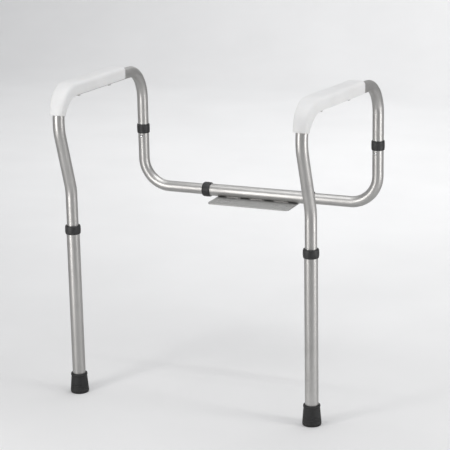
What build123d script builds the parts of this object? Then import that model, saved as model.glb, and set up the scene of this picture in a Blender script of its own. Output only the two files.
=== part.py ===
from build123d import *
import math
import os

# Toilet safety frame: two armrest frames that plug onto a telescoping cross tube,
# which a plate fastens under the toilet's own two seat bolts.
# Units: millimetres.  +Z up, +Y towards the toilet's tank, X across the seat.
# Origin: midway between the two seat bolts, on the plate's underside, which is
# the level of the toilet's rim.

# ---------------------------------------------------------------- driving sizes
RIM_HEIGHT = 367.7          # rim above the floor

TUBE_OD = 25.4              # arm tube and cross tube
TUBE_WALL = 1.6
LEG_OD = 28.6               # leg tube and receiver
LEG_WALL = 1.525
SLEEVE_OD = 22.1            # joining sleeve inside the rear posts
SLEEVE_WALL = 1.6

POST_X = 291.0              # rear post axis from the centre plane
POST_Y = 38.0               # rear post and cross tube axis behind the seat bolts
ARM_DEPTH = 391.4           # rear post axis to leg axis
TOE_IN = 2.14               # degrees that each arm turns inward to the front

CROSS_Z = 385.0             # height of the cross tube's axis above the floor
CROSS_BEND_R = 65.0
REAR_JOINT_Z = 526.0        # top of the cross tube's upright end
REAR_COLLAR = (510.1, 531.9)
REAR_BUTTON_Z = 503.5

S_SHIFT = 45.0              # how far the S-bend carries the tube forward
S_LOW_Z, S_HIGH_Z = 465.3, 602.3
S_LOW_R, S_HIGH_R = 92.0, 78.0
ARM_TILT = 2.0              # degrees down to the rear
FRONT_BEND_R = 54.0
REAR_BEND_R = 73.5
ARM_Z_AT_POST = 664.4       # height of the sloping centreline where it meets the post axis
ARM_FOOT_Z = 195.0          # lower end of the arm tube, inside the leg

LEG_BOTTOM_Z, LEG_TOP_Z = 8.0, 381.0
LEG_COLLAR = (366.2, 385.4)
LEG_BUTTON_Z = 225.0
LEG_PITCH = 25.4             # height holes in the leg, one inch apart
LEG_STOPS = range(-1, 6)     # seven holes: one stop shorter than at rest, five longer

TIP_H = 45.3
RECEIVER_HALF = 131.0
CROSS_INNER_X = 35.0
WIDTH_BUTTON_X = 57.0
WIDTH_PITCH = 12.7           # width holes in the receiver, half an inch apart
WIDTH_STOPS = range(-2, 5)   # seven holes a side: two stops narrower, four wider

PLATE_T = 3.0
PLATE_HALF_X = 100.0
SEAT_BOLT_SPACING = 140.0
SLOT_LENGTH, SLOT_WIDTH = 34.0, 11.0

REST_FRONT_Z = 636.0        # armrest's front lower end
REST_REAR_Y = -133.0         # armrest's rear end, from the post axis
GROOVE_GAP = 0.15           # between the armrest's groove and the tube

BUTTON_D = 6.2
BUTTON_TRAVEL = 4.2

R_TUBE, R_TUBE_IN = TUBE_OD / 2, TUBE_OD / 2 - TUBE_WALL
R_LEG, R_LEG_IN = LEG_OD / 2, LEG_OD / 2 - LEG_WALL
R_SLV, R_SLV_IN = SLEEVE_OD / 2, SLEEVE_OD / 2 - SLEEVE_WALL


def up(z):
    """Height above the floor to height above the rim."""
    return z - RIM_HEIGHT


def ring(r_out, r_in, z0, z1):
    """A plain upright tube between two heights above the rim."""
    body = extrude(Plane.XY.offset(z0) * Circle(r_out), z1 - z0)
    return body - extrude(Plane.XY.offset(z0 - 1) * Circle(r_in), z1 - z0 + 2)


def turned(profile):
    """A solid turned about Z from (radius, height) points."""
    face = Plane.XZ * make_face(Polyline(*profile, close=True))
    return revolve(face, Axis.Z)


def swept_tube(path, r_out, r_in):
    """A bent tube. The path starts upright or level; its start plane carries the ring."""
    start = Plane(origin=path @ 0, z_dir=path % 0)
    outer = sweep(start * Circle(r_out), path=path)
    if not r_in:
        return outer
    return outer - sweep(start * Circle(r_in), path=path)


def thick_strip(points, t):
    """Outline of a strip of even thickness that follows a line of (u, v) points."""
    left, right = [], []
    n = len(points)
    for i, (x, y) in enumerate(points):
        dirs = []
        if i:
            dx, dy = x - points[i - 1][0], y - points[i - 1][1]
            dirs.append((dx / math.hypot(dx, dy), dy / math.hypot(dx, dy)))
        if i < n - 1:
            dx, dy = points[i + 1][0] - x, points[i + 1][1] - y
            dirs.append((dx / math.hypot(dx, dy), dy / math.hypot(dx, dy)))
        tx, ty = sum(d[0] for d in dirs), sum(d[1] for d in dirs)
        m = math.hypot(tx, ty)
        tx, ty = tx / m, ty / m
        k = 1 / max(0.5, tx * dirs[0][0] + ty * dirs[0][1])
        left.append((x - ty * t / 2 * k, y + tx * t / 2 * k))
        right.append((x + ty * t / 2 * k, y - tx * t / 2 * k))
    return left + right[::-1]


def snap_button(r_bore, reach):
    """Button head along +X from the tube's axis: a flange inside the bore, a shank and a rounded top."""
    fl = math.sqrt(r_bore**2 - 4.3**2) - 0.3
    flange = extrude(Plane.YZ.offset(fl - 1.0) * Circle(4.2), 1.0)
    shank = extrude(Plane.YZ.offset(fl) * Circle(BUTTON_D / 2), reach - fl)
    shank = fillet(shank.edges().sort_by(Axis.X)[-1], 1.6)
    return flange + shank, fl - 1.0


def leaf_spring(r_bore, seat):
    """V-shaped leaf: one leg carries the button, the other bears on the far wall."""
    back = math.sqrt(r_bore**2 - 3.5**2) - 0.55
    pts = [(seat - 0.45, 7.5), (seat - 0.45, -6.0), (-back + 4.2, -36.0), (-back + 1.9, -39.2),
           (-back + 0.5, -38.6), (-back, -36.5), (-back, 9.0)]
    prof = thick_strip(pts, 0.8)
    face = Plane.XZ * make_face(Polyline(*prof, close=True))
    return extrude(face, 3.5, both=True)


def button_hole(r, x0=4.0, x1=22.0):
    return extrude(Plane.YZ.offset(x0) * Circle(r), x1 - x0)


TO_REAR = Rotation(0, 0, 90)       # +X becomes +Y
TO_FRONT = Rotation(0, 0, -90)     # +X becomes -Y

# ---------------------------------------------------------------- one arm, in its own frame
# x = 0 is the arm's plane, the rear post axis is at y = 0, the leg axis at y = -ARM_DEPTH.
leg_at = Location((0, -ARM_DEPTH, 0))

t = math.radians(ARM_TILT)
front_y = -ARM_DEPTH - S_SHIFT
front_corner = (0, front_y, up(ARM_Z_AT_POST) - front_y * math.tan(t))
rear_corner = (0, 0, up(ARM_Z_AT_POST))
arm_pts = [
    (0, -ARM_DEPTH, up(ARM_FOOT_Z)),
    (0, -ARM_DEPTH, up(S_LOW_Z)),
    (0, front_y, up(S_HIGH_Z)),
    front_corner,
    rear_corner,
    (0, 0, up(REAR_JOINT_Z) + 0.3),
]
arm_path = FilletPolyline(*arm_pts, radius=[S_LOW_R, S_HIGH_R, FRONT_BEND_R, REAR_BEND_R])
arm_tube = swept_tube(arm_path, R_TUBE, R_TUBE_IN)

# armrest: a moulded saddle over the top of the tube, open underneath
nf = FRONT_BEND_R
sweep_turn = math.radians(90 + ARM_TILT)
bend_start_z = front_corner[2] - nf * math.tan(sweep_turn / 2)
bend_c = (front_y + nf, bend_start_z)
straight_dir = (math.cos(t), -math.sin(t))
bend_end = (bend_c[0] + nf * math.cos(math.pi - sweep_turn), bend_c[1] + nf * math.sin(math.pi - sweep_turn))


def rest_section(y, z, ty, tz, w, outer):
    """Saddle section: a groove of the tube's size, open underneath, in a rounded block."""
    m = math.hypot(ty, tz)
    pl = Plane(origin=(0, y, z), x_dir=(-1, 0, 0), z_dir=(0, ty / m, tz / m))
    g = R_TUBE + GROOVE_GAP
    lip, h, r, q = -5.0, w / 2, 9.0, 1.6
    gx = math.sqrt(g * g - lip * lip)
    k = math.sqrt(0.5)
    edges = [
        ThreePointArc((-gx, lip), (0, g), (gx, lip)),
        Line((gx, lip), (h - q, lip)),
        ThreePointArc((h - q, lip), (h - q + q * k, lip + q - q * k), (h, lip + q)),
        Line((h, lip + q), (h, outer - r)),
        ThreePointArc((h, outer - r), (h - r + r * k, outer - r + r * k), (h - r, outer)),
        Line((h - r, outer), (-h + r, outer)),
        ThreePointArc((-h + r, outer), (-h + r - r * k, outer - r + r * k), (-h, outer - r)),
        Line((-h, outer - r), (-h, lip + q)),
        ThreePointArc((-h, lip + q), (-h + q - q * k, lip + q - q * k), (-h + q, lip)),
        Line((-h + q, lip), (-gx, lip)),
    ]
    return pl * make_face(edges)


def eased(k, pairs):
    """A size that follows a list of (share, value) pairs with eased steps."""
    for (k0, v0), (k1, v1) in zip(pairs, pairs[1:]):
        if k <= k1:
            u = (k - k0) / (k1 - k0)
            return v0 + (v1 - v0) * u
    return pairs[-1][1]


# the armrest starts part of the way round the front bend
rest_start = math.asin((up(REST_FRONT_Z) - bend_start_z) / nf)
sections = []
bend_steps = 8
for i in range(bend_steps + 1):
    k = i / bend_steps
    a = math.pi - rest_start - (sweep_turn - rest_start) * k
    w = eased(k, [(0, 30), (0.5, 38), (1, 45)])
    o = eased(k, [(0, 19.5), (0.5, 21.2), (1, 22.5)])
    sections.append(rest_section(bend_c[0] + nf * math.cos(a), bend_c[1] + nf * math.sin(a),
                                 math.sin(a), -math.cos(a), w, o))
rest_len = (REST_REAR_Y - bend_end[0]) / straight_dir[0]
for k, w, o in ((0.12, 45.6, 22.5), (0.5, 46, 22.5), (0.9, 46, 22.5), (1.0, 44, 21.0)):
    sections.append(rest_section(bend_end[0] + straight_dir[0] * rest_len * k, bend_end[1] + straight_dir[1] * rest_len * k,
                                 straight_dir[0], straight_dir[1], w, o))
armrest = loft(sections[:1 + bend_steps])
for one, two in zip(sections[bend_steps:], sections[bend_steps + 1:]):
    armrest = armrest + loft([one, two], ruled=True)

# armrest screws, driven from underneath through both walls of the tube
screws = None
for dist in (45.0, 200.0):
    y = bend_end[0] + straight_dir[0] * dist
    z = bend_end[1] + straight_dir[1] * dist
    here = Location((0, y, z)) * Rotation(-ARM_TILT, 0, 0)
    bore = here * extrude(Plane.XY.offset(-R_TUBE - 3) * Circle(2.1), 2 * R_TUBE + 6)
    arm_tube = arm_tube - bore
    armrest = armrest - here * extrude(Plane.XY.offset(6) * Circle(1.95), 13.0)
    head = extrude(Plane.XY.offset(-R_TUBE - 2.6) * Circle(3.8), 2.6)
    head = fillet(head.edges().sort_by(Axis.Z)[0], 1.2)
    head = head - extrude(Plane.XY.offset(-R_TUBE - 2.6) * (Rectangle(4.2, 0.9) + Rectangle(0.9, 4.2)), 1.5)
    shank = extrude(Plane.XY.offset(-R_TUBE) * Circle(1.9), 2 * R_TUBE + 5.5)
    screw = here * (head + shank)
    screws = screw if screws is None else screws + screw

# holes in the arm tube: leg button, rear rivet
arm_tube = arm_tube - Location((0, -ARM_DEPTH, up(LEG_BUTTON_Z))) * TO_REAR * button_hole(3.2)
rivet_z = up(REAR_JOINT_Z + 20)
arm_tube = arm_tube - Location((0, 0, rivet_z)) * TO_REAR * button_hole(2.0)

# joining sleeve, fixed in the arm tube and plugged into the cross tube's upright end
sleeve = ring(R_SLV, R_SLV_IN, up(468), up(566))
sleeve = sleeve - Location((0, 0, up(REAR_BUTTON_Z))) * TO_FRONT * button_hole(3.2)
sleeve = sleeve - Location((0, 0, rivet_z)) * TO_REAR * button_hole(2.0)
rivet = extrude(Plane.YZ.offset(R_SLV_IN - 1.9) * Circle(2.7), 1.3) + extrude(Plane.YZ.offset(R_SLV_IN - 0.6) * Circle(1.95), R_TUBE - R_SLV_IN + 0.6)
rivet_head = extrude(Plane.YZ.offset(R_TUBE) * Circle(3.4), 1.2)
rivet_head = fillet(rivet_head.edges().sort_by(Axis.X)[-1], 0.9)
rivet = Location((0, 0, rivet_z)) * TO_REAR * (rivet + rivet_head)

head, seat = snap_button(R_SLV_IN, R_TUBE + 2.5)
rear_button = Location((0, 0, up(REAR_BUTTON_Z))) * TO_FRONT * head
rear_spring = Location((0, 0, up(REAR_BUTTON_Z))) * TO_FRONT * mirror(leaf_spring(R_SLV_IN, seat), about=Plane.XY)

head, seat = snap_button(R_TUBE_IN, R_LEG + 2.4)
leg_button = Location((0, -ARM_DEPTH, up(LEG_BUTTON_Z))) * TO_REAR * head
leg_spring = Location((0, -ARM_DEPTH, up(LEG_BUTTON_Z))) * TO_REAR * mirror(leaf_spring(R_TUBE_IN, seat), about=Plane.XY)

# leg tube with its row of height holes facing the rear
leg_tube = ring(R_LEG, R_LEG_IN, up(LEG_BOTTOM_Z), up(LEG_TOP_Z))
for k in LEG_STOPS:
    leg_tube = leg_tube - Location((0, 0, up(LEG_BUTTON_Z + LEG_PITCH * k))) * TO_REAR * button_hole(3.4)
leg_tube = leg_at * leg_tube

# leg collar: barrel shaped, stepped inside so that it caps the leg tube's end
c0, c1 = up(LEG_COLLAR[0]), up(LEG_COLLAR[1])
ct = up(LEG_TOP_Z)
leg_collar = turned([
    (R_LEG + 0.05, c0), (16.1, c0), (16.8, c0 + 1.2), (17.15, c0 + 5.0), (17.2, (c0 + c1) / 2), (17.0, c1 - 5.0),
    (16.5, c1 - 1.8), (15.4, c1), (R_TUBE + 0.08, c1), (R_TUBE + 0.08, ct + 0.02), (R_LEG + 0.05, ct + 0.02),
])
leg_collar = leg_at * leg_collar

# rubber tip with treads, and the steel washer in its socket
tip = turned([
    (0, 2.5), (5.5, 2.5), (5.5, 0), (9.0, 0), (9.0, 2.0), (12.0, 2.0), (12.0, 0), (15.0, 0), (15.0, 2.0), (17.2, 2.0),
    (17.2, 0), (18.9, 0), (20.1, 1.6), (20.3, 4.0), (20.1, 9.0), (19.3, 20.0), (18.6, 32.0), (17.9, TIP_H - 3.0),
    (17.2, TIP_H - 0.8), (16.4, TIP_H), (R_LEG + 0.05, TIP_H), (R_LEG + 0.05, 6.4), (0, 6.4),
])
tip = leg_at * Location((0, 0, up(0))) * tip
washer = leg_at * ring(13.6, 4.0, up(6.4), up(8.0))

# ---------------------------------------------------------------- cross tube, right hand
bx, by = POST_X, POST_Y
cz = up(CROSS_Z)
cross_path = FilletPolyline((bx, by, up(REAR_JOINT_Z)), (bx, by, cz), (CROSS_INNER_X, by, cz), radius=CROSS_BEND_R)
cross_tube = swept_tube(cross_path, R_TUBE, R_TUBE_IN)
turn = Rotation(0, 0, -TOE_IN)
cross_tube = cross_tube - Location((bx, by, up(REAR_BUTTON_Z))) * turn * TO_FRONT * button_hole(3.35)
cross_tube = cross_tube - Location((WIDTH_BUTTON_X, by, cz)) * TO_REAR * button_hole(3.2)

rc0, rc1 = up(REAR_COLLAR[0]), up(REAR_COLLAR[1])
rear_collar = turned([
    (R_TUBE + 0.05, rc0), (14.3, rc0), (14.9, rc0 + 1.0), (15.1, rc0 + 4.0), (15.15, (rc0 + rc1) / 2), (15.1, rc1 - 4.0),
    (14.9, rc1 - 1.0), (14.3, rc1), (R_TUBE + 0.05, rc1),
])
rear_collar = Location((bx, by, 0)) * rear_collar

# width button and leaf, in the level run; the leaf's arms lie along the tube
head, seat = snap_button(R_TUBE_IN, R_LEG + 2.4)
width_button = Location((WIDTH_BUTTON_X, by, cz)) * TO_REAR * head
leaf = leaf_spring(R_TUBE_IN, seat)
leaf = Rotation(-90, 0, 0) * leaf          # length now along Y, so along X after the next turn
width_spring = Location((WIDTH_BUTTON_X, by, cz)) * TO_REAR * leaf

# ---------------------------------------------------------------- plate and receiver
plate_front, plate_back = -30.0, by + R_LEG + 0.0
plate = extrude(Pos(0, (plate_front + plate_back) / 2) * RectangleRounded(2 * PLATE_HALF_X, plate_back - plate_front, 9.0), PLATE_T)
flange = extrude(Plane.XY * Pos(0, plate_back + PLATE_T / 2 - 0.0) * Rectangle(2 * PLATE_HALF_X - 30, PLATE_T), cz - 5.0)
# the flange stops below the width holes so that the buttons can be reached
flange = fillet(flange.edges().filter_by(Axis.Y).group_by(Axis.Z)[-1], 4.0)
plate = plate + flange
for sx in (-1, 1):
    plate = plate - extrude(Pos(sx * SEAT_BOLT_SPACING / 2, 0) * SlotOverall(SLOT_LENGTH, SLOT_WIDTH), PLATE_T * 3, both=True)

receiver = Location((0, by, cz)) * (
    extrude(Plane.YZ * Circle(R_LEG), RECEIVER_HALF, both=True) - extrude(Plane.YZ * Circle(R_LEG_IN), RECEIVER_HALF + 1, both=True))
for sx in (-1, 1):
    for k in WIDTH_STOPS:
        receiver = receiver - Location((sx * (WIDTH_BUTTON_X + k * WIDTH_PITCH), by, cz)) * TO_REAR * button_hole(3.4)
plate = plate - extrude(Location((0, by, cz)) * Plane.YZ * Circle(R_LEG), RECEIVER_HALF + 20, both=True)
cap = turned([
    (R_LEG + 0.05, 0), (16.1, 0), (16.8, 1.2), (17.2, 5.0), (17.2, 14.0), (16.9, 17.0), (15.8, 19.0), (R_TUBE + 0.08, 19.0),
    (R_TUBE + 0.08, 13.0), (R_LEG + 0.05, 13.0),
])
receiver_collar = Location((RECEIVER_HALF - 12.98, by, cz)) * Rotation(0, 90, 0) * cap

# ---------------------------------------------------------------- placing and writing
place = Location((bx, by, 0)) * turn
right = {
    "arm_tube": place * arm_tube,
    "armrest": place * armrest,
    "armrest_screws": place * screws,
    "rear_sleeve": place * sleeve,
    "sleeve_rivet": place * rivet,
    "rear_button": place * rear_button,
    "rear_button_spring": place * rear_spring,
    "leg_button": place * leg_button,
    "leg_button_spring": place * leg_spring,
    "leg_tube": place * leg_tube,
    "leg_collar": place * leg_collar,
    "foot_tip": place * tip,
    "foot_washer": place * washer,
    "cross_tube": cross_tube,
    "rear_collar": rear_collar,
    "width_button": width_button,
    "width_button_spring": width_spring,
    "receiver_collar": receiver_collar,
}
for name, shape in right.items():
    shape.label = name + "_right"
    export_step(shape, f"parts/{name}_right.step")
    other = mirror(shape, about=Plane.YZ)
    other.label = name + "_left"
    export_step(other, f"parts/{name}_left.step")
for name, shape in (("mounting_plate", plate), ("receiver_tube", receiver)):
    shape.label = name
    export_step(shape, f"parts/{name}.step")

everything = Compound(children=[*right.values(), plate, receiver])
box = everything.bounding_box()
print("size of the right half with plate:", box.min, box.max)
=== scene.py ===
import bpy
import bmesh
import math
from mathutils import Vector, Matrix


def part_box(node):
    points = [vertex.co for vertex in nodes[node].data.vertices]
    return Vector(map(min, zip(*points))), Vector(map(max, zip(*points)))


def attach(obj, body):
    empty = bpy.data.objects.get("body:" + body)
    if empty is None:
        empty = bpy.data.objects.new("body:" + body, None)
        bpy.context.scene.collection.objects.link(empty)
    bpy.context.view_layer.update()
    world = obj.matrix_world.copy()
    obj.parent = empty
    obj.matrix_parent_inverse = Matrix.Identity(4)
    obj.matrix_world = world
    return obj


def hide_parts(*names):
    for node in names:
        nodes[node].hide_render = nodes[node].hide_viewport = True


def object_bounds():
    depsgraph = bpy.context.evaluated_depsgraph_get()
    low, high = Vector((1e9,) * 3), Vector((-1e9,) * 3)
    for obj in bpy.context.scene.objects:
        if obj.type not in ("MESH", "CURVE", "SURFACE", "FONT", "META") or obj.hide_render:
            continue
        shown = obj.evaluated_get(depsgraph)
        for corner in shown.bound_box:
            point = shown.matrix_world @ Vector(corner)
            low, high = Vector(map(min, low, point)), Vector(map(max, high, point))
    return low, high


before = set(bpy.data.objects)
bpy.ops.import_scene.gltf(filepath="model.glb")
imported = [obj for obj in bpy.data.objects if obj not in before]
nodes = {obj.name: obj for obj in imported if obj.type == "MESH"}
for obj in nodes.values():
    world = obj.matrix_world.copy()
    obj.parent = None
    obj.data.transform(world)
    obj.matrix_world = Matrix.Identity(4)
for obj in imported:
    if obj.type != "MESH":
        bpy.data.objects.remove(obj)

cad_box = [list(map(float, c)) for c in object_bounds()]
scene = bpy.context.scene
RIM = 0.3677
SIDES = (("left", -1), ("right", 1))


def up(z):
    return z - RIM


# ---------------------------------------------------------------- sizes of the arm, as the CAD has them (metres)
POST_X, POST_Y, ARM_DEPTH = 0.2910, 0.0380, 0.3914
TOE = math.radians(2.14)
TILT = math.radians(2.0)
R_TUBE = 0.0127
FRONT_Y = -ARM_DEPTH - 0.0450
FRONT_R = 0.054
TURN = math.radians(90) + TILT
CORNER_Z = up(0.6644) - FRONT_Y * math.tan(TILT)
BEND_C = (FRONT_Y + FRONT_R, CORNER_Z - FRONT_R * math.tan(TURN / 2))
RUN_DIR = (math.cos(TILT), -math.sin(TILT))
BEND_END = (BEND_C[0] + FRONT_R * math.cos(math.pi - TURN), BEND_C[1] + FRONT_R * math.sin(math.pi - TURN))
RUN_LEN = (-0.133 - BEND_END[0]) / RUN_DIR[0]


def to_row(sx, x, y, z):
    """From an arm's own plane (x across it) to the row's frame; sx is -1 on the left."""
    c, s = math.cos(TOE), math.sin(TOE)
    return Vector((sx * (POST_X + c * x + s * y), POST_Y - s * x + c * y, z))


# ---------------------------------------------------------------- node helpers
def new_mat(name):
    m = bpy.data.materials.new(name)
    m.use_nodes = True
    nt = m.node_tree
    for n in list(nt.nodes):
        nt.nodes.remove(n)
    out = nt.nodes.new("ShaderNodeOutputMaterial")
    b = nt.nodes.new("ShaderNodeBsdfPrincipled")
    nt.links.new(b.outputs[0], out.inputs[0])
    tc = nt.nodes.new("ShaderNodeTexCoord")
    return m, nt, b, tc.outputs["Object"]


def mapping(nt, vec, scale):
    n = nt.nodes.new("ShaderNodeMapping")
    n.inputs["Scale"].default_value = scale
    nt.links.new(vec, n.inputs["Vector"])
    return n.outputs[0]


def noise(nt, vec, scale, detail=3.0, rough=0.55):
    n = nt.nodes.new("ShaderNodeTexNoise")
    n.inputs["Scale"].default_value = scale
    n.inputs["Detail"].default_value = detail
    n.inputs["Roughness"].default_value = rough
    nt.links.new(vec, n.inputs["Vector"])
    return n.outputs["Fac"]


def ramp(nt, fac, stops):
    n = nt.nodes.new("ShaderNodeValToRGB")
    el = n.color_ramp.elements
    while len(el) < len(stops):
        el.new(0.5)
    for e, (p, c) in zip(el, stops):
        e.position = p
        e.color = c if len(c) == 4 else (*c, 1)
    nt.links.new(fac, n.inputs[0])
    return n.outputs[0]


def span(nt, fac, lo, hi, a=0.3, b=0.7):
    n = nt.nodes.new("ShaderNodeMapRange")
    n.inputs["From Min"].default_value = a
    n.inputs["From Max"].default_value = b
    n.inputs["To Min"].default_value = lo
    n.inputs["To Max"].default_value = hi
    nt.links.new(fac, n.inputs["Value"])
    return n.outputs[0]


def mixf(nt, fac, a, b):
    n = nt.nodes.new("ShaderNodeMix")
    n.data_type = "FLOAT"
    nt.links.new(fac, n.inputs[0])
    nt.links.new(a, n.inputs[2])
    nt.links.new(b, n.inputs[3])
    return n.outputs[0]


def mixc(nt, fac, a, b, mode="MIX"):
    n = nt.nodes.new("ShaderNodeMix")
    n.data_type = "RGBA"
    n.blend_type = mode
    if isinstance(fac, float):
        n.inputs[0].default_value = fac
    else:
        nt.links.new(fac, n.inputs[0])
    for sock, v in ((n.inputs[6], a), (n.inputs[7], b)):
        if isinstance(v, tuple):
            sock.default_value = (*v, 1)
        else:
            nt.links.new(v, sock)
    return n.outputs[2]


def bump(nt, bsdf, height, strength, distance, under=None):
    n = nt.nodes.new("ShaderNodeBump")
    n.inputs["Strength"].default_value = strength
    n.inputs["Distance"].default_value = distance
    nt.links.new(height, n.inputs["Height"])
    if under is not None:
        nt.links.new(under, n.inputs["Normal"])
    nt.links.new(n.outputs[0], bsdf.inputs["Normal"])
    return n.outputs[0]


def height_of(nt, vec):
    n = nt.nodes.new("ShaderNodeSeparateXYZ")
    nt.links.new(vec, n.inputs[0])
    return n.outputs


def drawn_lines(nt, vec, axis, switch=None, other=None):
    """Fine draw lines that run along one axis, turning to another where the tube bends."""
    def one(a):
        sc = [1400.0, 1400.0, 1400.0]
        sc[a] = 22.0
        return noise(nt, mapping(nt, vec, tuple(sc)), 1.0, 2.0, 0.6)
    first = one(axis)
    if switch is None:
        return first
    return mixf(nt, switch, first, one(other))


# ---------------------------------------------------------------- materials
def metal(name, base, kind):
    """Clear anodised tube: soft satin, fine lengthwise lines, faint clouding and handling marks."""
    m, nt, b, vec = new_mat(name)
    b.inputs["Metallic"].default_value = 1.0
    b.inputs["Specular IOR Level"].default_value = 0.5
    xyz = height_of(nt, vec)
    if kind == "cross":
        sw = span(nt, xyz[2], 0.0, 1.0, 0.045, 0.080)
        lines = drawn_lines(nt, vec, 0, sw, 2)
    elif kind == "arm":
        sw = span(nt, xyz[2], 0.0, 1.0, 0.245, 0.290)
        lines = drawn_lines(nt, vec, 2, sw, 1)
    elif kind == "level":
        lines = drawn_lines(nt, vec, 0)
    else:
        lines = drawn_lines(nt, vec, 2)
    cloud = noise(nt, vec, 26.0, 4.0, 0.6)
    grain = noise(nt, vec, 2600.0, 2.0, 0.6)
    tint = ramp(nt, cloud, [(0.30, tuple(c * 0.955 for c in base)), (0.70, tuple(min(1, c * 1.035) for c in base))])
    streak = ramp(nt, lines, [(0.30, (0.93, 0.93, 0.925)), (0.70, (1.0, 1.0, 1.0))])
    nt.links.new(mixc(nt, 1.0, tint, streak, "MULTIPLY"), b.inputs["Base Color"])
    marks = noise(nt, mapping(nt, vec, (60.0, 60.0, 60.0)), 1.0, 5.0, 0.72)
    r1 = span(nt, lines, 0.350, 0.420)
    r2 = span(nt, marks, -0.03, 0.045)
    add = nt.nodes.new("ShaderNodeMath")
    add.operation = "ADD"
    nt.links.new(r1, add.inputs[0])
    nt.links.new(r2, add.inputs[1])
    nt.links.new(add.outputs[0], b.inputs["Roughness"])
    n1 = bump(nt, b, lines, 0.10, 0.00006)
    bump(nt, b, grain, 0.10, 0.00003, n1)
    return m


def plastic_white(name):
    """White moulded armrest: warm white, fine orange-peel skin, faint flow marks."""
    m, nt, b, vec = new_mat(name)
    cloud = noise(nt, vec, 14.0, 3.0, 0.5)
    flow = noise(nt, mapping(nt, vec, (60.0, 9.0, 60.0)), 1.0, 3.0, 0.55)
    c = ramp(nt, cloud, [(0.3, (0.835, 0.835, 0.832)), (0.7, (0.880, 0.880, 0.880))])
    f = ramp(nt, flow, [(0.3, (0.978, 0.978, 0.975)), (0.7, (1, 1, 1))])
    nt.links.new(mixc(nt, 1.0, c, f, "MULTIPLY"), b.inputs["Base Color"])
    nt.links.new(span(nt, noise(nt, vec, 90.0, 4.0, 0.6), 0.40, 0.52), b.inputs["Roughness"])
    b.inputs["IOR"].default_value = 1.49
    b.inputs["Subsurface Weight"].default_value = 0.08
    b.inputs["Subsurface Radius"].default_value = (0.004, 0.0036, 0.0032)
    b.inputs["Subsurface Scale"].default_value = 0.6
    n1 = bump(nt, b, noise(nt, vec, 900.0, 3.0, 0.6), 0.16, 0.00012)
    bump(nt, b, noise(nt, vec, 170.0, 2.0, 0.5), 0.06, 0.0003, n1)
    return m


def plastic_black(name):
    """Black nylon: satin, a little lighter where it has been handled."""
    m, nt, b, vec = new_mat(name)
    worn = noise(nt, vec, 120.0, 5.0, 0.65)
    nt.links.new(ramp(nt, worn, [(0.35, (0.020, 0.020, 0.021)), (0.72, (0.040, 0.040, 0.042))]), b.inputs["Base Color"])
    nt.links.new(span(nt, noise(nt, vec, 300.0, 3.0, 0.6), 0.40, 0.56), b.inputs["Roughness"])
    b.inputs["IOR"].default_value = 1.52
    n1 = bump(nt, b, noise(nt, vec, 1500.0, 2.0, 0.6), 0.22, 0.0001)
    bump(nt, b, noise(nt, vec, 210.0, 2.0, 0.5), 0.08, 0.0003, n1)
    return m


def rubber(name):
    """Black rubber: matt, with a dusty bloom and small scuffs near the floor."""
    m, nt, b, vec = new_mat(name)
    z = height_of(nt, vec)[2]
    dust = noise(nt, vec, 160.0, 6.0, 0.68)
    low = span(nt, z, 1.0, 0.0, -RIM, -RIM + 0.020)
    c = ramp(nt, dust, [(0.35, (0.013, 0.013, 0.0135)), (0.75, (0.026, 0.026, 0.027))])
    scuff = ramp(nt, noise(nt, vec, 420.0, 5.0, 0.7), [(0.50, (0.014, 0.014, 0.014)), (0.72, (0.070, 0.068, 0.064))])
    nt.links.new(mixc(nt, low, c, scuff), b.inputs["Base Color"])
    nt.links.new(span(nt, dust, 0.52, 0.74), b.inputs["Roughness"])
    b.inputs["IOR"].default_value = 1.5
    n1 = bump(nt, b, noise(nt, vec, 1300.0, 3.0, 0.65), 0.28, 0.00016)
    bump(nt, b, noise(nt, vec, 240.0, 2.0, 0.5), 0.10, 0.0004, n1)
    return m


def small_metal(name, base, rough, scale=900.0):
    """Plated or bright small steel parts: light tumbling marks and tiny scratches."""
    m, nt, b, vec = new_mat(name)
    b.inputs["Metallic"].default_value = 1.0
    n = noise(nt, vec, scale, 4.0, 0.65)
    nt.links.new(ramp(nt, n, [(0.3, tuple(c * 0.88 for c in base)), (0.7, base)]), b.inputs["Base Color"])
    nt.links.new(span(nt, n, rough - 0.05, rough + 0.08), b.inputs["Roughness"])
    bump(nt, b, n, 0.12, 0.00005)
    return m


def powder(name):
    """Silver-grey powder coat with its fine pebbled skin and faint random clouding."""
    m, nt, b, vec = new_mat(name)
    b.inputs["Metallic"].default_value = 0.55
    n = noise(nt, vec, 1100.0, 3.0, 0.6)
    w = noise(nt, vec, 70.0, 5.0, 0.7)
    c = ramp(nt, n, [(0.3, (0.40, 0.40, 0.395)), (0.7, (0.50, 0.50, 0.495))])
    c2 = ramp(nt, w, [(0.35, (0.90, 0.90, 0.89)), (0.70, (1, 1, 1))])
    nt.links.new(mixc(nt, 1.0, c, c2, "MULTIPLY"), b.inputs["Base Color"])
    nt.links.new(span(nt, w, 0.42, 0.56), b.inputs["Roughness"])
    bump(nt, b, n, 0.30, 0.00012)
    return m


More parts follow.
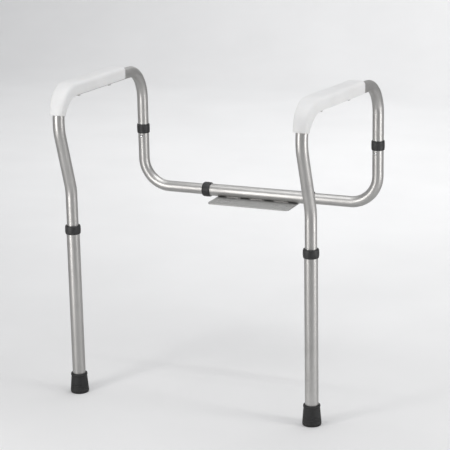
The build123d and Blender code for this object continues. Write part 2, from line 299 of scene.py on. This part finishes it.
ALU = (0.600, 0.592, 0.580)
M = {
    "arm": metal("satin_arm_tube", ALU, "arm"),
    "cross": metal("satin_cross_tube", ALU, "cross"),
    "leg": metal("satin_leg_tube", ALU, "leg"),
    "receiver": metal("satin_receiver", ALU, "level"),
    "sleeve": metal("mill_sleeve", (0.66, 0.66, 0.66), "leg"),
    "white": plastic_white("white_armrest"),
    "black": plastic_black("black_collar"),
    "rubber": rubber("black_tip"),
    "button": small_metal("plated_button", (0.66, 0.66, 0.67), 0.20),
    "spring": small_metal("spring_steel", (0.42, 0.42, 0.43), 0.30),
    "screw": small_metal("zinc_screw", (0.58, 0.58, 0.57), 0.30),
    "rivet": small_metal("rivet_alu", (0.62, 0.62, 0.62), 0.28),
    "plate": powder("grey_plate"),
    "weld": small_metal("weld_bead", (0.40, 0.39, 0.38), 0.42, 500.0),
}
LOOK = {
    "arm_tube": "arm", "armrest": "white", "armrest_screws": "screw", "rear_sleeve": "sleeve", "sleeve_rivet": "rivet",
    "rear_button": "button", "rear_button_spring": "spring", "leg_button": "button", "leg_button_spring": "spring",
    "leg_tube": "leg", "leg_collar": "black", "foot_tip": "rubber", "foot_washer": "spring", "cross_tube": "cross",
    "rear_collar": "black", "width_button": "button", "width_button_spring": "spring", "receiver_collar": "black",
    "mounting_plate": "plate", "receiver_tube": "receiver",
}
for name, obj in nodes.items():
    look = LOOK[name.replace("_left", "").replace("_right", "")]
    if not obj.data.materials:
        obj.data.materials.append(M[look])
    for i in range(len(obj.data.materials)):
        obj.data.materials[i] = M[look]


# ---------------------------------------------------------------- piece helpers
def put(name, bm, mat, body, stands_for=(), smooth=40):
    bmesh.ops.recalc_face_normals(bm, faces=bm.faces)
    me = bpy.data.meshes.new(name)
    bm.to_mesh(me)
    bm.free()
    me.materials.append(M[mat])
    ob = bpy.data.objects.new(name, me)
    scene.collection.objects.link(ob)
    for p in me.polygons:
        p.use_smooth = True
    me.set_sharp_from_angle(angle=math.radians(smooth))
    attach(ob, body)
    if stands_for:
        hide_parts(*stands_for)
    return ob


def skin(rings, closed_ends=True):
    """A closed tube of quads through rings of points of equal count."""
    bm = bmesh.new()
    vs = [[bm.verts.new(p) for p in r] for r in rings]
    n = len(rings[0])
    for a, c in zip(vs, vs[1:]):
        for i in range(n):
            j = (i + 1) % n
            bm.faces.new((a[i], a[j], c[j], c[i]))
    if closed_ends:
        bm.faces.new(vs[0][::-1])
        bm.faces.new(vs[-1])
    return bm


# ---------------------------------------------------------------- armrests
def smooth_at(k, pairs):
    for (k0, v0), (k1, v1) in zip(pairs, pairs[1:]):
        if k <= k1:
            u = max(0.0, (k - k0) / (k1 - k0))
            u = u * u * (3 - 2 * u) * 0.5 + u * 0.5
            return v0 + (v1 - v0) * u
    return pairs[-1][1]


def arc(cx, cy, r, a0, a1, n):
    return [(cx + r * math.cos(math.radians(a0 + (a1 - a0) * i / n)), cy + r * math.sin(math.radians(a0 + (a1 - a0) * i / n)))
            for i in range(n + 1)]


def rest_profile(w, outer, lip=-0.0050, r=0.0090, q=0.0018, crown=0.0006, grow=0.0, side=0.0):
    """Saddle section (across, outward): groove over the tube, soft shoulders, very slightly crowned top."""
    g = R_TUBE + 0.00015
    h = w / 2 - grow - side
    top = outer - grow
    lo = lip + grow * 0.4
    r = max(0.002, min(r, (top - lo) * 0.45))
    gx = math.sqrt(g * g - lo * lo)
    q = max(0.0004, min(q, h - gx - 0.0003))
    a = math.degrees(math.atan2(lo, -gx)) % 360
    pts = arc(0, 0, g, a, a - (a - (math.degrees(math.atan2(lo, gx)))), 26)
    pts += arc(h - q, lo + q, q, -90, 0, 5)
    pts += [(h, lo + q + (top - r - lo - q) * f) for f in (0.33, 0.66)]
    pts += arc(h - r, top - r, r, 0, 90, 9)
    m = 8
    for i in range(1, m):
        x = (h - r) * (1 - 2 * i / m)
        pts.append((x, top + crown * (1 - (2 * i / m - 1) ** 2)))
    pts += arc(-h + r, top - r, r, 90, 180, 9)
    pts += [(-h, lo + q + (top - r - lo - q) * f) for f in (0.66, 0.33)]
    pts += arc(-h + q, lo + q, q, 180, 270, 5)
    return pts


def armrest(side, sx):
    stations = []           # (y, z, along, w, outer, shrink)
    start = math.asin((up(0.6360) - BEND_C[1]) / FRONT_R)     # angle round the front bend where it begins
    bend = FRONT_R * (TURN - start)
    def station(s, w, o, grow=0.0, side_in=0.0):
        if s <= bend:
            a = math.pi - start - s / FRONT_R
            y, z = BEND_C[0] + FRONT_R * math.cos(a), BEND_C[1] + FRONT_R * math.sin(a)
            ty, tz = math.sin(a), -math.cos(a)
        else:
            d = s - bend
            y, z = BEND_END[0] + RUN_DIR[0] * d, BEND_END[1] + RUN_DIR[1] * d
            ty, tz = RUN_DIR
        stations.append((y, z, ty, tz, w, o, grow, side_in))
    total = bend + RUN_LEN
    def wid(s):
        return smooth_at(s, [(0, 0.0300), (0.5 * bend, 0.0378), (bend, 0.0448), (bend + 0.03, 0.0456), (total, 0.0436)])
    def out(s):
        return smooth_at(s, [(0, 0.0190), (0.5 * bend, 0.0207), (bend, 0.0218), (total, 0.0218)])
    def grow_front(d):          # rounded rim at the front lower end
        e = 0.0012
        return 0.0 if d >= e else e - math.sqrt(max(0.0, e * e - (e - d) ** 2))
    def grow_rear(d):           # larger soft bevel at the rear end
        e = 0.0055
        return 0.0 if d >= e else (e - math.sqrt(max(0.0, e * e - (e - d) ** 2))) * 0.70
    def side_rear(d):           # corners of the rear end, rounded in plan
        e = 0.0095
        return 0.0 if d >= e else (e - math.sqrt(max(0.0, e * e - (e - d) ** 2))) * 0.50
    ss = [0.0, 0.0002, 0.0005, 0.0009, 0.0014, 0.004]
    s = 0.008
    while s < bend + 0.01:
        ss.append(s)
        s += 0.0032
    while s < total - 0.016:
        ss.append(s)
        s += 0.0080
    ss += [total - d for d in (0.0120, 0.0090, 0.0075, 0.0062, 0.0050, 0.0039, 0.0029, 0.0020, 0.0012, 0.0006, 0.0002, 0.0)]
    rings = []
    for s in ss:
        g = max(grow_front(s), grow_rear(total - s))
        station(s, wid(s), out(s), g, side_rear(total - s))
    for y, z, ty, tz, w, o, g, gs in stations:
        ny, nz = -tz, ty            # outward: away from the bend's centre
        rings.append([to_row(sx, sx * px, y + ny * pv, z + nz * pv) for px, pv in rest_profile(w, o, grow=g, side=gs)])
    bm = skin(rings)
    return put("armrest_shell_" + side, bm, "white", "arm_" + side, ("armrest_" + side,), smooth=38)


for side, sx in SIDES:
    armrest(side, sx)


# ---------------------------------------------------------------- collars, with a moulded rim
def lathe(profile, centre, segs=72, wave=None):
    """A closed body turned about an upright axis; profile is (radius, height) round the section."""
    rings = []
    for i in range(segs):
        a = 2 * math.pi * i / segs
        ring = []
        for k, (r, z) in enumerate(profile):
            rr = r + (wave(a, k, r, z) if wave else 0.0)
            ring.append(Vector((centre[0] + rr * math.cos(a), centre[1] + rr * math.sin(a), z)))
        rings.append(ring)
    bm = bmesh.new()
    vs = [[bm.verts.new(p) for p in r] for r in rings]
    n = len(profile)
    for i in range(segs):
        a, c = vs[i], vs[(i + 1) % segs]
        for k in range(n):
            j = (k + 1) % n
            bm.faces.new((a[k], a[j], c[j], c[k]))
    return bm


def bulge(r0, r1, z0, z1, bore, n=14, edge=0.0011, step=None):
    """Barrel-shaped collar section with rounded rims; step is (height, wider bore below it)."""
    pts = []
    for i in range(n + 1):
        u = i / n
        r = r0 + (r1 - r0) * (1 - (2 * u - 1) ** 2) ** 0.6
        pts.append((r, z0 + edge + (z1 - z0 - 2 * edge) * u))
    low = [(bore if step is None else step[1], z0), (r0 - edge, z0), (r0 - edge * 0.3, z0 + edge * 0.3)]
    high = [(r0 - edge * 0.3, z1 - edge * 0.3), (r0 - edge, z1), (bore, z1)]
    if step:
        high += [(bore, step[0]), (step[1], step[0])]
    return low + pts + high


R_LEG = 0.0143
for side, sx in SIDES:
    lo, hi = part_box("leg_collar_" + side)
    cx, cy = (lo.x + hi.x) / 2, (lo.y + hi.y) / 2
    bmc = lathe(bulge(0.0163, 0.01718, lo.z, hi.z, R_TUBE + 0.00008, step=(up(0.38102), R_LEG + 0.00005)), (cx, cy))
    put("leg_collar_shell_" + side, bmc, "black", "leg_" + side, ("leg_collar_" + side,), smooth=50)
    lo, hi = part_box("rear_collar_" + side)
    cx, cy = (lo.x + hi.x) / 2, (lo.y + hi.y) / 2
    bmc = lathe(bulge(0.0146, 0.01512, lo.z, hi.z, R_TUBE + 0.00005), (cx, cy))
    put("rear_collar_shell_" + side, bmc, "black", "arm_" + side, ("rear_collar_" + side,), smooth=50)

    # rubber tip: tapered, with a rolled lip, three moulded rings and a treaded sole
    lo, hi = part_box("foot_tip_" + side)
    cx, cy = (lo.x + hi.x) / 2, (lo.y + hi.y) / 2
    z0 = lo.z
    prof = [(0.0001, z0 + 0.0025), (0.0055, z0 + 0.0025), (0.0056, z0), (0.0090, z0), (0.0091, z0 + 0.0020), (0.0119, z0 + 0.0020),
            (0.0120, z0), (0.0150, z0), (0.0151, z0 + 0.0020), (0.0171, z0 + 0.0020), (0.0172, z0), (0.0188, z0),
            (0.0195, z0 + 0.0005), (0.01995, z0 + 0.0013), (0.0202, z0 + 0.0028), (0.0203, z0 + 0.0050), (0.02022, z0 + 0.0075)]
    def side_r(h):
        return 0.0202 + (0.0175 - 0.0202) * (h - 0.0075) / (0.0400 - 0.0075)
    for c in (0.0110, 0.0150, 0.0190):
        prof += [(side_r(c - 0.0009), z0 + c - 0.0009), (side_r(c) - 0.00045, z0 + c - 0.0004),
                 (side_r(c) - 0.00045, z0 + c + 0.0004), (side_r(c + 0.0009), z0 + c + 0.0009)]
    for h in (0.0230, 0.0270, 0.0310, 0.0350, 0.0385):
        prof.append((side_r(h), z0 + h))
    prof += [(0.0178, z0 + 0.0398), (0.01825, z0 + 0.0407), (0.0184, z0 + 0.0420), (0.01825, z0 + 0.0434), (0.0177, z0 + 0.0446),
             (0.0168, z0 + 0.0452), (0.0160, z0 + 0.0453), (0.0150, z0 + 0.0450), (0.01437, z0 + 0.0444),
             (0.01437, z0 + 0.0064), (0.0001, z0 + 0.0064)]
    put("foot_tip_shell_" + side, lathe(prof, (cx, cy), 80), "rubber", "leg_" + side, ("foot_tip_" + side,), smooth=42)


# ---------------------------------------------------------------- weld beads along the receiver, on the plate
def bead(name, x0, x1, y, z, r, seed):
    """A rippled fillet bead between the receiver and the plate."""
    rings = []
    n = int((x1 - x0) / 0.0012)
    for i in range(n + 1):
        u = i / n
        x = x0 + (x1 - x0) * u
        fade = min(1.0, 6 * u, 6 * (1 - u)) ** 0.5
        rr = r * (0.25 + 0.75 * fade) * (1 + 0.10 * math.sin(i * 2.1 + seed))
        rings.append([Vector((x, y + rr * math.cos(a), z + rr * math.sin(a))) for a in [2 * math.pi * k / 14 for k in range(14)]])
    return skin(rings)


lo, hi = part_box("receiver_tube")
ry, rz, rr = (lo.y + hi.y) / 2, (lo.z + hi.z) / 2, (hi.z - lo.z) / 2
for i, (x0, x1) in enumerate(((-0.080, -0.040), (-0.020, 0.020), (0.040, 0.080))):
    put(f"weld_front_{i}", bead(f"weld_front_{i}", x0, x1, ry - 0.0068, 0.0040, 0.0021, i), "weld", "bracket", smooth=60)

# ---------------------------------------------------------------- floor, light, camera
FLOOR_Z = cad_box[0][2]
bm = bmesh.new()
S = 6.0
back = 3.2
pts = []
for i in range(25):                    # the floor curves up into the backdrop
    u = i / 24
    if i == 0:
        pts.append((-S, 0.0))
    a = math.radians(90 * u)
    pts.append((back + 1.2 * math.sin(a), 1.2 - 1.2 * math.cos(a)))
pts.append((back + 1.2, S))
rows = []
for y, z in pts:
    rows.append([bm.verts.new((x, y, FLOOR_Z + z)) for x in (-S * 1.4, S * 1.4)])
for a, c in zip(rows, rows[1:]):
    bm.faces.new((a[0], a[1], c[1], c[0]))
me = bpy.data.meshes.new("studio_floor")
bm.to_mesh(me)
bm.free()
for p in me.polygons:
    p.use_smooth = True
fm, nt, b, vec = new_mat("studio_paper")
nt.links.new(ramp(nt, noise(nt, vec, 3.0, 3.0, 0.5), [(0.3, (0.84, 0.84, 0.84)), (0.7, (0.87, 0.87, 0.87))]), b.inputs["Base Color"])
b.inputs["Roughness"].default_value = 0.9
b.inputs["Specular IOR Level"].default_value = 0.1
me.materials.append(fm)
floor = bpy.data.objects.new("studio_floor", me)
scene.collection.objects.link(floor)

world = bpy.data.worlds.new("studio")
scene.world = world
world.use_nodes = True
bg = world.node_tree.nodes["Background"]
bg.inputs[0].default_value = (0.96, 0.97, 1.0, 1)
bg.inputs[1].default_value = 0.36


def area(name, loc, target, w, h, power, colour=(1, 1, 1)):
    d = bpy.data.lights.new(name, "AREA")
    d.shape = "RECTANGLE"
    d.size, d.size_y = w, h
    d.energy = power
    d.color = colour
    o = bpy.data.objects.new(name, d)
    o.location = loc
    o.rotation_euler = (Vector(target) - Vector(loc)).to_track_quat("-Z", "Y").to_euler()
    scene.collection.objects.link(o)
    return o


mid = Vector((0, -0.16, 0.0))
VIEW = math.radians(-66.6)          # the way from the frame to the camera, in plan


def strip(name, off, dist, w, h, power, z=0.10, colour=(1, 1, 1)):
    """An upright soft strip light, placed by its angle from the camera's side in plan."""
    a = VIEW + math.radians(off)
    o = area(name, (dist * math.cos(a), -0.16 + dist * math.sin(a), z), (0, -0.16, z), w, h, power, colour)
    o.visible_camera = False
    return o


def card(name, off, dist, w, z0, z1, tone):
    """A dark card that only reflections see, as studios use to give bright metal its darker edges."""
    a = VIEW + math.radians(off)
    c = Vector((dist * math.cos(a), -0.16 + dist * math.sin(a), 0))
    side = Vector((-math.sin(a), math.cos(a), 0)) * (w / 2)
    b = bmesh.new()
    vs = [b.verts.new(c + side * sx + Vector((0, 0, z))) for sx, z in ((-1, z0), (1, z0), (1, z1), (-1, z1))]
    b.faces.new(vs)
    me = bpy.data.meshes.new(name)
    b.to_mesh(me)
    b.free()
    m, nt, bs, vec = new_mat(name)
    nt.links.new(ramp(nt, noise(nt, vec, 2.0, 2.0, 0.5), [(0.3, (tone, tone, tone)), (0.7, (tone * 1.2, tone * 1.2, tone * 1.2))]), bs.inputs["Base Color"])
    bs.inputs["Roughness"].default_value = 0.95
    bs.inputs["Specular IOR Level"].default_value = 0.0
    me.materials.append(m)
    o = bpy.data.objects.new(name, me)
    scene.collection.objects.link(o)
    o.visible_camera = False
    o.visible_shadow = False
    o.visible_diffuse = False
    o.visible_transmission = False
    return o


strip("strip_left", -50, 1.7, 0.42, 1.7, 12, colour=(1, 0.985, 0.965))
strip("strip_right", 60, 1.7, 0.42, 1.7, 10, colour=(1, 0.99, 0.975))
top = area("top_soft", (0.2, -0.4, 2.6), mid, 2.6, 2.2, 36)
top.visible_camera = False
wash = area("backdrop_wash", (0.0, 1.2, 2.6), (0, 4.2, 0.9), 3.5, 0.8, 82)
wash.visible_camera = False
card("card_front", 4, 1.25, 0.55, FLOOR_Z + 0.005, 1.1, 0.46)
card("card_back_left", -140, 0.95, 1.15, FLOOR_Z + 0.005, 1.1, 0.42)
card("card_back_right", 140, 0.95, 1.15, FLOOR_Z + 0.005, 1.1, 0.42)


def floor_card(name, corners, z, tone):
    """A card lying on the floor that only reflections see."""
    b = bmesh.new()
    b.faces.new([b.verts.new((x, y, FLOOR_Z + z)) for x, y in corners])
    me = bpy.data.meshes.new(name)
    b.to_mesh(me)
    b.free()
    m, nt, bs, vec = new_mat(name)
    nt.links.new(ramp(nt, noise(nt, vec, 2.0, 2.0, 0.5), [(0.3, (tone * 0.95,) * 3), (0.7, (tone,) * 3)]), bs.inputs["Base Color"])
    bs.inputs["Roughness"].default_value = 0.95
    bs.inputs["Specular IOR Level"].default_value = 0.0
    me.materials.append(m)
    o = bpy.data.objects.new(name, me)
    scene.collection.objects.link(o)
    o.visible_camera = False
    o.visible_shadow = False
    o.visible_diffuse = False
    o.visible_transmission = False


floor_card("floor_dark", [(-2.2, -2.2), (2.2, -2.2), (2.2, 2.0), (-2.2, 2.0)], 0.0015, 0.56)
for side, sx in SIDES:
    lo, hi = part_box("foot_tip_" + side)
    c = Vector(((lo.x + hi.x) / 2, (lo.y + hi.y) / 2, 0))
    for off in (-50, 60):
        a = VIEW + math.radians(off)
        tri = [c, c + 1.9 * Vector((math.cos(a - 0.21), math.sin(a - 0.21), 0)), c + 1.9 * Vector((math.cos(a + 0.21), math.sin(a + 0.21), 0))]
        floor_card(f"floor_bright_{side}_{'a' if off < 0 else 'b'}", [(v.x, v.y) for v in tri], 0.003 + 0.0005 * (sx + 1), 0.85)

# camera: three-quarter view from the front right, a long lens, a little above the arms
AZ, EL, ROLL = math.radians(23.42), math.radians(15.53), math.radians(-1.05)
F_PX, OFF_X, OFF_Y = 1674.37, 3.61, 6.38
d = Vector((-math.sin(AZ) * math.cos(EL), math.cos(AZ) * math.cos(EL), -math.sin(EL)))
r = Vector((math.cos(AZ), math.sin(AZ), 0))
u = Vector((-math.sin(EL) * math.sin(AZ), math.sin(EL) * math.cos(AZ), math.cos(EL)))
r2 = r * math.cos(ROLL) + u * math.sin(ROLL)
u2 = -r * math.sin(ROLL) + u * math.cos(ROLL)
d2 = (d - r2 * (OFF_X / F_PX) + u2 * (OFF_Y / F_PX)).normalized()
r3 = d2.cross(u2).normalized()
u3 = r3.cross(d2).normalized()
cam_data = bpy.data.cameras.new("camera")
cam_data.sensor_width = 36.0
cam_data.lens = F_PX * 36.0 / 450.0
cam_data.clip_end = 50
cam = bpy.data.objects.new("camera", cam_data)
rot = Matrix((r3, u3, -d2)).transposed().to_4x4()
cam.matrix_world = Matrix.Translation((1.43288, -3.44627, 0.9742)) @ rot
scene.collection.objects.link(cam)
scene.camera = cam
scene.view_settings.view_transform = "Standard"
scene.view_settings.look = "None"
